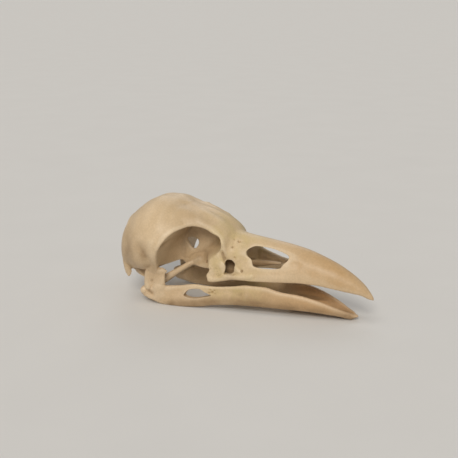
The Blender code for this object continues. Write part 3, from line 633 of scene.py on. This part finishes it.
def note_hollows(obj, holes, rounds=14):
    """Writes four numbers at each vertex: bend, over 0.5 on ridges and at the painted highlights and under it
    in creases; deep, the painted shade, 1 in the nose, the holes and the back of the sockets and less in the
    recesses, on the lower sides and along the jaw's lower edge; porous, 1 where the bone is spongy; and
    pierced, 1 in the holes, for their painted shade."""
    points, neighbours = points_of(obj), neighbour_means(obj)
    smooth = points
    for _ in range(rounds):
        smooth = neighbours(smooth)
    bend = ((points - smooth) * rows_of(obj.data.vertex_normals, "vector")).sum(axis=1)
    for _ in range(3):
        bend = neighbours(bend)
    folded = right_of(points)
    path, strength, spread = JAW_PAINTED_SHADE
    shaded = strength * path_bell(folded, path, spread)
    shaded += sum(strength * bump(folded, *place) for strength, *place in PAINTED_SHADE_PLACES)
    shaded += NEAR_NOSE_PAINTED_SHADE[0] * bump(points, *NEAR_NOSE_PAINTED_SHADE[1:])
    pierced = sum((hole_bell(folded, *hole) for hole in holes), np.zeros(len(points)))
    noted = {
        "bend": 0.5 + np.clip(bend / HIGHEST_BEND + HIGHLIGHT_BEND * bumps(folded, PAINTED_HIGHLIGHTS), -0.5, 0.5),
        "deep": np.clip(shaded + pierced, 0, 1),
        "porous": np.clip(bumps(folded, SPONGY), 0, 1),
        "pierced": np.clip(pierced, 0, 1),
    }
    for name, values in noted.items():
        layer = obj.data.attributes.new(name, "FLOAT", "POINT")
        layer.data.foreach_set("value", values.astype(np.float32))


def shifted(rings, move, centre, spread):
    """A closed skin over rings that are moved as far as a bell round the centre lets them."""
    return closed_skin(rings + bump(rings, centre, spread)[..., None] * move)


def flared(outline, centre, tip_size, wall, reach, rows=24):
    """A body that stands on a wall and spreads softly onto it: a smooth loop that shrinks about a
    centre while its place along Y goes from the wall to the reach as a smooth step."""
    share = np.linspace(0, 1, rows)
    sizes = 1 - (1 - np.array(tip_size)) * share[:, None]
    places = wall + (reach - wall) * share ** 2 * (3 - 2 * share)
    return stacked(smooth_loop(outline), centre, list(zip(places, sizes)))


def cranium_bodies():
    """Everything of the cranium that is full before its openings are cut."""
    back = oval_rings(*along(BRAINCASE, 110), squareness=2.1, lower_squareness=2.7, sides=120)
    roof = oval_rings(*along(FOREHEAD, 120), squareness=2.1, lower_squareness=2.3)
    bodies = [
        # a swelling at the nape, and a shallow groove between the eyes
        shifted(back, (-0.5, 0, 0), (-44.0, 0.0, 21.0), (4.0, 5.0, 7.0)),
        shifted(roof, (0, 0, -0.7), (-13.0, 0.0, 32.0), (9.0, 2.4, 5.0)),
        closed_skin(beak_rings(*along(BEAK, 150))),
        ball((-9.4, 0.0, 17.8), (6.2, 9.5, 4.8), squareness=5.0, rows=61, sides=64),
    ]
    right = [
        prism(EYE_PLATE, (-9.8, -8.7)),
        # behind the eye socket
        rod([(-29.2, -15.8, 22.0, 3.0, 1.2), (-28.9, -15.7, 17.5, 2.8, 1.1), (-29.2, -14.2, 14.2, 2.8, 1.0),
             (-29.5, -13.8, 12.2, 2.6, 0.9), (-29.6, -13.4, 10.6, 2.0, 0.6)], LENGTHWISE),
        # the spur beside the neck, and the wall that runs in from it
        rod([(-40.4, -12.0, 17.5, 2.2, 1.2), (-40.9, -12.1, 14.4, 2.1, 1.0), (-41.0, -12.2, 11.8, 1.5, 0.9),
             (-40.7, -12.4, 9.8, 1.0, 0.6), (-40.4, -12.4, 8.1, 0.45, 0.35)], LENGTHWISE),
        rod([(-39.6, -8.4, 10.6, 1.6, 0.9), (-37.2, -9.8, 10.1, 1.6, 0.8),
             (-34.9, -11.2, 9.9, 1.5, 0.7), (-32.4, -12.4, 9.8, 1.2, 0.6)]),
        # over the quadrate
        rod([(-35.0, -12.8, 13.8, 1.4, 1.4), (-32.0, -13.2, 13.8, 1.6, 1.6),
             (-30.2, -13.4, 13.5, 1.2, 1.2)]),
        ball((-2.0, -3.8, 14.0), (3.4, 1.5, 2.6), squareness=3.0),
        # the floor of the hollow before the eye
        ball((-2.4, -7.2, 12.2), (4.6, 3.2, 1.0), squareness=3.0),
        # the cheek bar's stub and the blade of the palate
        rod([(6.5, -8.6, 13.2, 1.2, 0.9), (2.0, -9.4, 12.5, 1.0, 0.8), (-1.5, -9.7, 12.1, 0.85, 0.65),
             (-5.0, -9.9, 11.3, 0.85, 0.65), (-8.6, -9.8, 10.5, 1.0, 0.7),
             (-10.7, -9.8, 10.4, 1.1, 0.7)]),
        rod([(-21.3, -2.3, 12.9, 0.8, 0.6), (-17.5, -3.0, 13.2, 1.5, 0.7), (-12.0, -4.0, 13.0, 1.9, 0.6),
             (-5.0, -4.8, 12.4, 1.5, 0.6), (3.0, -4.5, 12.2, 1.1, 0.6), (9.5, -3.8, 12.6, 1.0, 0.6),
             (14.5, -3.0, 13.6, 0.9, 0.6)], CROSSWISE),
    ]
    right += crumbs([(-10.3, -9.6, 14.8), (-9.7, -9.6, 13.7), (-11.0, -9.6, 11.8), (-10.6, -9.6, 10.2)],
                    count=9, size=0.3, scatter=0.1, seed=5)
    right += crumbs([(-39.4, -12.2, 11.0), (-40.0, -12.5, 8.6), (-41.9, -12.2, 9.8)],
                    count=8, size=0.32, scatter=0.16, seed=12)
    return bodies + both_sides(right)


def cranium_openings():
    """The eye sockets, the nasal cavity with its nostrils, and the openings of the skull's base."""
    right = [
        bowl(SOCKET, (-19.4, 12.0), (0.52, 1.06), -0.75, -9.4, -22.0, 2.0, ((-8.4, 17.0), (4.0, 2.9))),
        prism(CHEEK_WINDOW, (-12.0, -8.4)),
        ball((-2.6, -6.9, 15.3), (2.8, 2.2, 3.1)),
        ball((-4.4, -5.6, 14.9), (3.0, 2.2, 2.4)),
        ball((-36.1, -15.6, 10.0), (3.3, 5.0, 2.5), squareness=2.6),
    ]
    tilt = Matrix.Rotation(math.radians(38), 4, "Y")
    return both_sides(right) + [
        prism(NOSTRIL, (-12.0, -1.0)),
        prism(FAR_NOSTRIL, (1.0, 12.0)),
        closed_skin(beak_rings(*along(NASAL_CAVITY, 60), sides=72)),
        ball((5.6, 0.0, 12.4), (8.2, 6.3, 4.6), squareness=2.6),
        ball((-42.6, 0.0, 11.4), (3.6, 3.5, 3.8), turned=tilt),
        prism(SEPTUM_WINDOW, (-3.0, 3.0)),
    ]


def cranium_struts():
    """Thin bones that cross or border the openings."""
    keel = rod([(-33.0, 0, 11.4, 1.5, 1.6), (-29.4, 0, 13.5, 1.1, 1.2), (-25.6, 0, 13.8, 1.0, 0.9),
                (-22.0, 0, 12.4, 1.3, 0.8), (-12.0, 0, 12.1, 1.0, 0.8), (-1.2, 0, 12.4, 1.2, 0.9)])
    knob = ball((-38.4, 0.0, 8.8), (1.5, 1.5, 1.3), rows=21, sides=28)
    ploughshare = rod([(-1.0, 0, 13.9, 1.4, 0.6), (2.0, 0, 15.1, 1.25, 0.8), (5.7, 0, 15.5, 1.0, 0.8),
                       (9.0, 0, 16.0, 0.7, 0.7), (13.2, 0, 16.4, 0.4, 0.4)])
    return [keel, knob, ploughshare] + both_sides([flared(SHELF, (-5.6, 12.3), (0.55, 0.14), -0.72, -4.0)])


def cranium():
    """Braincase, roof, upper beak, cheek stubs and palate: one bone in a grown crow."""
    struts = cranium_struts()
    whole = fuse("Cranium", cranium_bodies() + struts, rounds=2)
    openings = fuse("Openings", cranium_openings(), rounds=1)
    standing = grown(fuse("Struts", struts, rounds=1), STRUT_MARGIN)
    cut_away(openings, standing)
    cut_away(whole, evened(openings, rounds=0, voxel=CUTTER_VOXEL))
    softened(whole, rounds=3)
    worn(whole, CRANIUM_WEAR, rounds=90)
    thinned(whole, CRANIUM_TRIANGLES)
    carve(whole, CRANIUM_MARKS, CRANIUM_HOLES, seed=21, left_marks=LEFT_MARKS)
    return whole


def lower_jaw():
    """Both halves of the lower jaw with their joined front, resting on the floor."""
    halves = [
        closed_skin(ramus_rings(*along(RAMUS, 130))),
        rod([(-30.6, -12.4, 4.6, 1.7, 1.4), (-30.4, -9.6, 5.4, 1.3, 1.1),
             (-29.8, -7.6, 6.6, 0.8, 0.7)], LENGTHWISE),
        ball((-33.8, -13.2, 4.3), (1.45, 1.5, 1.5)),
        # the cup that the quadrate's fore knuckle stands in
        rod([(-28.2, -12.6, 3.0, 2.4, 1.2), (-28.0, -13.1, 5.2, 2.8, 1.3), (-27.7, -13.3, 7.0, 2.5, 1.2),
             (-27.4, -13.2, 8.5, 1.7, 0.8)], LENGTHWISE),
    ]
    chin, hollow = (closed_skin(oval_rings(*along(table, 70))) for table in (CHIN, CHIN_HOLLOW))
    windows = both_sides([prism(JAW_WINDOW, (-20.0, -8.0))])
    jaw = fuse("Mandible", both_sides(halves) + [chin], rounds=2)
    cut_away(jaw, fuse("Jaw openings", windows + [hollow], rounds=1))
    softened(jaw, rounds=3)
    worn(jaw, JAW_WEAR, rounds=40)
    carve(jaw, JAW_MARKS, JAW_HOLES, seed=33)
    points = points_of(jaw)
    points[:, 2] = np.maximum(points[:, 2], 0)
    place_points(jaw, points)
    return jaw


def quadrate():
    """The right quadrate: the stout bone that hangs the jaw from the braincase, two columns
    joined by a web, with a knuckle under each, one further in and a short process forward."""
    bodies = [
        rod([(-29.6, -13.0, 14.0, 1.4, 0.8), (-29.6, -13.1, 13.1, 2.9, 1.2), (-29.5, -13.2, 11.6, 3.8, 1.45),
             (-29.3, -13.3, 9.8, 4.05, 1.45), (-29.3, -13.3, 7.8, 4.0, 1.4), (-29.4, -13.2, 6.0, 3.4, 1.3)],
            LENGTHWISE),
        rod([(-32.0, -13.2, 12.2, 1.2, 1.0), (-31.8, -13.7, 8.0, 1.5, 1.45), (-31.8, -13.7, 6.0, 1.5, 1.25),
             (-31.7, -13.5, 4.6, 1.0, 0.9)], LENGTHWISE),
        rod([(-26.9, -13.4, 10.8, 1.4, 1.0), (-27.0, -13.5, 8.7, 1.8, 1.15), (-27.4, -13.3, 6.6, 1.6, 1.0)],
            LENGTHWISE),
        ball((-29.4, -10.6, 6.8), (1.8, 1.9, 1.4)),
        rod([(-30.2, -13.2, 11.9, 1.5, 1.3), (-27.6, -13.4, 11.9, 1.5, 1.35),
             (-26.1, -13.1, 12.1, 1.25, 0.95), (-25.0, -12.8, 11.9, 0.8, 0.5)]),
    ]
    bodies += crumbs([(-24.8, -12.9, 11.6), (-25.0, -12.9, 12.7), (-26.6, -13.3, 13.3)],
                     count=8, size=0.3, scatter=0.12, seed=8)
    bone = fuse("Quadrate_right", bodies, rounds=18, voxel=QUADRATE_VOXEL)
    carve(bone, QUADRATE_MARKS, [], seed=47)
    return bone


def pterygoid():
    """The right pterygoid: a slim bar from the quadrate to the keel, flattened at the keel."""
    bar = rod([(-29.2, -11.6, 7.3, 1.7, 1.5), (-26.8, -9.0, 8.7, 1.42, 1.25), (-23.6, -5.4, 10.9, 1.08, 1.05),
               (-21.2, -2.9, 12.5, 1.02, 0.95), (-19.2, -1.3, 13.6, 1.0, 0.8), (-17.6, -0.3, 14.4, 0.9, 0.5)])
    return fuse("Pterygoid_right", [bar], rounds=2, voxel=PTERYGOID_VOXEL)


# Materials

# Brown: the bone's own tan patches, and also the painted shade in creases and hollows.
BROWN = (0.29, 0.185, 0.095)
PEACH = (0.47, 0.29, 0.125)
HINGE_YELLOW = (0.58, 0.45, 0.21, 1.0)
# Painted highlight along ridges.
RIDGE_HIGHLIGHT_CREAM = (0.78, 0.65, 0.47, 1.0)
# Painted shade inside the holes and pores.
HOLE_SHADE_BROWN = (0.16, 0.11, 0.06, 1.0)
FLOOR_GREYS = ((0.66, 0.65, 0.63, 1.0), (0.69, 0.68, 0.66, 1.0))
BONE_SHINE = {"Metallic": 0.0, "Specular IOR Level": 0.36, "Coat Weight": 0.05, "Coat Roughness": 0.35}
FLOOR_SHINE = {"Roughness": 0.9, "Specular IOR Level": 0.2}


class Tree:
    """A node tree with a short way to add and join nodes, named without their ShaderNode."""

    def __init__(self, tree):
        self.tree = tree

    def add(self, kind, settings=None, **inputs):
        node = self.tree.nodes.new("ShaderNode" + kind)
        for key, value in (settings or {}).items():
            setattr(node, key, value)
        for key, value in inputs.items():
            self.put(node, key.replace("_", " "), value)
        return node

    def put(self, node, socket, value):
        socket = node.inputs[socket]
        if isinstance(value, bpy.types.NodeSocket):
            self.tree.links.new(value, socket)
        else:
            socket.default_value = value

    def noise(self, place, scale, detail=4.0, rough=0.55):
        noise = self.add("TexNoise", Vector=place, Scale=scale, Detail=detail, Roughness=rough)
        return noise.outputs["Fac"]

    def place(self):
        return self.add("TexCoord").outputs["Object"]

    def layer(self, name):
        return self.add("Attribute", {"attribute_name": name}).outputs["Fac"]

    def fed(self, kind, settings, *values):
        """The first output of a node whose first sockets get these values."""
        node = self.add(kind, settings)
        for index, value in enumerate(values):
            self.put(node, index, value)
        return node.outputs[0]

    def maths(self, operation, *values):
        return self.fed("Math", {"operation": operation}, *values)

    def times(self, first, second):
        return self.maths("MULTIPLY", first, second)

    def spread(self, value, low, high, to_low=0.0, to_high=1.0):
        """A value's stretch from low to high made a smooth step between two others."""
        settings = {"interpolation_type": "SMOOTHSTEP"}
        return self.fed("MapRange", settings, value, low, high, to_low, to_high)

    def patches(self, mask, place, scale, *steps):
        """A mask in soft patches: times a noise of this scale, spread over these steps."""
        return self.times(mask, self.spread(self.noise(place, scale, 3.0), *steps))

    def tint(self, share, first, second, blend="MIX"):
        node = self.add("Mix", {"data_type": "RGBA", "blend_type": blend})
        for index, value in ((0, share), (6, first), (7, second)):
            self.put(node, index, value)
        return node.outputs[2]


def group(name, inputs, outputs):
    """An empty shader group with these sockets, its tree, its inputs and its output node."""
    made = bpy.data.node_groups.new(name, "ShaderNodeTree")
    for way, kinds in (("INPUT", inputs), ("OUTPUT", outputs)):
        for kind, titles in kinds.items():
            for title in titles:
                made.interface.new_socket(title, in_out=way, socket_type="NodeSocket" + kind)
    given = made.nodes.new("NodeGroupInput").outputs
    return made, Tree(made), given, made.nodes.new("NodeGroupOutput")


def tone_and_shade_group():
    """Bone colour: clouds between a pale and a deep tone, yellow at the hinge, peach towards the tips,
    painted shade in brown where the surface is deep or creased, and a painted highlight, paler, along ridges."""
    made, tree, given, out = group(
        "Bone tone and shade",
        {"Color": ["Pale", "Deep", "Peach", "Brown"], "Float": ["Peach from", "Peach to", "Bend", "Hollow"]},
        {"Color": ["Color"], "Float": ["Dryness"]})
    place = tree.place()
    side = tree.add("SeparateXYZ", Vector=place).outputs["X"]
    clouds = tree.spread(tree.noise(place, 80.0, 3.0), 0.3, 0.72)
    tan = tree.spread(tree.noise(place, 42.0, 2.0), 0.5, 0.75, 0.0, 0.22)
    towards_tip = tree.spread(side, given["Peach from"], given["Peach to"])
    peach = tree.patches(towards_tip, place, 130.0, 0.25, 0.75, 0.68, 0.94)
    at_hinge = tree.maths("SUBTRACT", tree.spread(side, -0.018, -0.004), tree.spread(side, 0.002, 0.014))
    yellow = tree.patches(at_hinge, place, 210.0, 0.35, 0.7, 0.15, 0.7)
    # Painted shade in creases and hollows, and a painted highlight along ridges.
    crease_shade = tree.spread(given["Bend"], 0.45, 0.2, 0.0, 0.7)
    ridge = tree.spread(given["Bend"], 0.54, 0.8, 0.0, 0.3)
    hollow_shade = tree.patches(given["Hollow"], place, 160.0, 0.3, 0.7, 0.6, 0.95)
    deep, brown = given["Deep"], given["Brown"]
    colour = given["Pale"]
    for share, tone in ((clouds, deep), (tan, brown), (peach, given["Peach"]), (yellow, HINGE_YELLOW),
                        (crease_shade, brown), (ridge, RIDGE_HIGHLIGHT_CREAM), (hollow_shade, brown)):
        colour = tree.tint(share, colour, tone)
    tree.put(out, "Color", colour)
    tree.put(out, "Dryness", tree.maths("ADD", tree.times(clouds, 0.5), crease_shade))
    return made


def grain_group():
    """Fine relief of the bone: a faint fibre drawn out along X, dust-sized roughness, and pores
    that gather where the bone is spongy and a slower noise lets them."""
    made, tree, given, out = group(
        "Bone grain", {"Float": ["Fibre", "Pore size", "Spongy"]}, {"Float": ["Height", "Pits", "Speckle"]})
    place = tree.place()
    drawn = tree.add("Mapping", Scale=(0.16, 1.0, 1.0), Vector=place).outputs[0]
    fibre = tree.times(tree.noise(drawn, 900.0, 3.0), given["Fibre"])
    speckle = tree.noise(place, 1500.0, 4.0, 0.6)
    cells = tree.add("TexVoronoi", {"feature": "F1"}, Vector=place, Scale=given["Pore size"],
                     Randomness=1.0)
    pit = tree.spread(cells.outputs["Distance"], 0.10, 0.26, 1.0, 0.0)
    gathered = tree.spread(tree.noise(place, 230.0, 2.0), 0.5, 0.62)
    pit = tree.times(pit, tree.times(gathered, given["Spongy"]))
    rough = tree.maths("ADD", tree.times(speckle, 0.35), tree.times(fibre, 0.6))
    tree.put(out, "Height", tree.maths("SUBTRACT", rough, pit))
    tree.put(out, "Pits", pit)
    tree.put(out, "Speckle", speckle)
    return made


def new_material(name, shine):
    """A material, the tree of its nodes and its surface, with the shine's plain values set."""
    material = bpy.data.materials.new(name)
    material.use_nodes = True
    tree = Tree(material.node_tree)
    surface = material.node_tree.nodes["Principled BSDF"]
    for socket, value in shine.items():
        tree.put(surface, socket, value)
    return material, tree, surface


def bone(name, groups, pale, deep, peach, tips, fibre, pore_size, roughness):
    """One bone finish: the two shared groups with this bone's own values. Its peach comes in
    between the two places along X that tips gives."""
    material, tree, surface = new_material(name, BONE_SHINE)
    tone_and_shade = tree.add("Group", {"node_tree": groups[0]}, Pale=(*pale, 1), Deep=(*deep, 1),
                     Peach=(*peach, 1), Brown=(*BROWN, 1), Peach_from=tips[0], Peach_to=tips[1],
                     Bend=tree.layer("bend"), Hollow=tree.layer("deep"))
    grain = tree.add("Group", {"node_tree": groups[1]}, Fibre=fibre, Pore_size=pore_size,
                     Spongy=tree.layer("porous"))
    # Painted shade: the pores and the holes are tinted dark brown.
    pit_and_hole_shade = tree.maths("MAXIMUM", grain.outputs["Pits"], tree.layer("pierced"))
    colour = tree.tint(tree.times(pit_and_hole_shade, 0.65), tone_and_shade.outputs["Color"], HOLE_SHADE_BROWN)
    flecks = tree.spread(grain.outputs["Speckle"], 0.3, 0.75, 0.93, 1.05)
    tree.put(surface, "Base Color", tree.tint(1.0, colour, flecks, "MULTIPLY"))
    dull = tree.spread(tone_and_shade.outputs["Dryness"], 0.0, 1.2, roughness, roughness + 0.2)
    pitted = tree.times(grain.outputs["Pits"], 0.2)
    tree.put(surface, "Roughness", tree.maths("ADD", dull, pitted))
    relief = tree.add("Bump", Strength=0.35, Distance=0.00022, Height=grain.outputs["Height"])
    tree.put(surface, "Normal", relief.outputs["Normal"])
    return material


def floor_finish():
    """Plain pale paper: a warm grey with the faintest mottling."""
    material, tree, surface = new_material("Pale floor", FLOOR_SHINE)
    tree.put(surface, "Base Color", tree.tint(tree.noise(tree.place(), 30.0, 2.0), *FLOOR_GREYS))
    return material


# Stage

CAMERA_TURN, CAMERA_TILT = 24.5, 15.2  # degrees round from the right side, and down
CAMERA_PLACE = (0.12141, -0.28149, 0.11041)
FOCAL_PIXELS, FRAME_PIXELS = 918.3, 458.0
SENSOR = 36.0
FLOOR_RADII = 0.05, 8.0  # of the innermost and the outermost ring
FLOOR_SIDES, FLOOR_RINGS = 96, 30
# Each lamp's direction, softness in degrees, strength and colour.
LAMPS = {
    "Key": ((-0.2, 0.77, -0.6), 24.0, 1.7, (1.0, 0.95, 0.88)),
    "Top": ((0.2, 0.25, -0.95), 40.0, 0.5, (1.0, 0.96, 0.92)),
    "Rim": ((0.3, -0.75, -0.6), 30.0, 0.35, (0.95, 0.97, 1.0)),
}
ROOM_LIGHT, ROOM_STRENGTH = (0.96, 0.95, 0.93, 1.0), 0.34


def look_along(obj, place, towards):
    """Puts a camera or lamp at a place with its -Z along a direction and its X level."""
    back = -Vector(towards).normalized()
    right = Vector(UPRIGHT).cross(back).normalized()
    frame = Matrix((right, back.cross(right), back)).transposed().to_4x4()
    frame.translation = place
    obj.matrix_world = frame


def add_camera():
    """The photograph's view of the skull."""
    turn, tilt = math.radians(CAMERA_TURN), math.radians(CAMERA_TILT)
    lens = bpy.data.cameras.new("Camera")
    lens.sensor_width = SENSOR
    lens.lens = SENSOR * FOCAL_PIXELS / FRAME_PIXELS
    lens.clip_start = 0.01
    camera = linked("Camera", lens)
    level = math.cos(tilt)
    look_along(camera, CAMERA_PLACE, (-math.sin(turn) * level, math.cos(turn) * level, -math.sin(tilt)))
    bpy.context.scene.camera = camera


def add_lamps():
    """Large even lamps far off: each lights along one direction, softened over an angle."""
    for name, (towards, softness, strength, colour) in LAMPS.items():
        lamp = bpy.data.lights.new(name, "SUN")
        lamp.angle = math.radians(softness)
        lamp.energy = strength
        lamp.color = colour
        look_along(linked(name, lamp), -0.5 * Vector(towards), towards)


def add_floor():
    """A level round floor: rings that widen by equal shares."""
    turn = full_turn(FLOOR_SIDES)
    reach = np.geomspace(*FLOOR_RADII, FLOOR_RINGS)[:, None]
    rings = np.stack([reach * np.cos(turn), reach * np.sin(turn), 0 * reach * turn], -1)
    points = np.concatenate([np.zeros((1, 3)), rings.reshape(-1, 3)])
    quads, middle, _ = ring_faces(FLOOR_RINGS, FLOOR_SIDES)
    mesh = bpy.data.meshes.new("Floor")
    mesh.from_pydata(points.tolist(), [], [face[::-1] for face in quads + middle])
    mesh.shade_smooth()
    mesh.materials.append(floor_finish())
    floor = linked("Floor", mesh)


def add_stage():
    """The floor, three soft lamps and an even light all round."""
    add_floor()
    add_lamps()
    world = bpy.data.worlds.new("Studio")
    world.use_nodes = True
    room = world.node_tree.nodes["Background"]
    room.inputs["Color"].default_value = ROOM_LIGHT
    room.inputs["Strength"].default_value = ROOM_STRENGTH
    bpy.context.scene.world = world
    bpy.context.scene.view_settings.view_transform = "Standard"


def finish_piece(obj, material, nodes):
    """Smooth shading, its finish, and its place in the frame."""
    obj.data.shade_smooth()
    obj.data.materials.append(material)
    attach(obj, "root")
    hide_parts(*nodes)


def main():
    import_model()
    add_camera()
    groups = (tone_and_shade_group(), grain_group())
    skull_bone = bone("Cranium bone", groups, pale=(0.67, 0.51, 0.325), deep=(0.6, 0.445, 0.265),
                      peach=PEACH, tips=(0.0, 0.034), fibre=0.5, pore_size=1150.0, roughness=0.42)
    jaw_bone = bone("Jaw bone", groups, pale=(0.66, 0.49, 0.31), deep=(0.55, 0.395, 0.225),
                    peach=(0.6, 0.375, 0.185), tips=(-0.004, 0.032), fibre=0.8, pore_size=1200.0,
                    roughness=0.42)
    small_bone = bone("Small bone", groups, pale=(0.69, 0.525, 0.34), deep=(0.6, 0.44, 0.26),
                      peach=PEACH, tips=(0.3, 0.4), fibre=0.4, pore_size=1400.0, roughness=0.46)
    small_bones = {"quadrate": quadrate(), "pterygoid": pterygoid()}
    pieces = [
        (cranium(), skull_bone, "bone", CRANIUM_HOLES,
         ["braincase", "frontal", "upper_beak", "jugal_right", "jugal_left", "palatine_right",
          "palatine_left"]),
        (lower_jaw(), jaw_bone, "beak_bone", JAW_HOLES, ["mandible"]),
    ]
    for node, right in small_bones.items():
        left = linked(node.capitalize() + "_left", mirrored(right.data))
        pieces += [(right, small_bone, "bone", [], [node + "_right"]),
                   (left, small_bone, "bone", [], [node + "_left"])]
    for obj, material, slot, holes, nodes in pieces:
        note_hollows(obj, holes)
        finish_piece(obj, material, nodes)
    add_stage()


main()
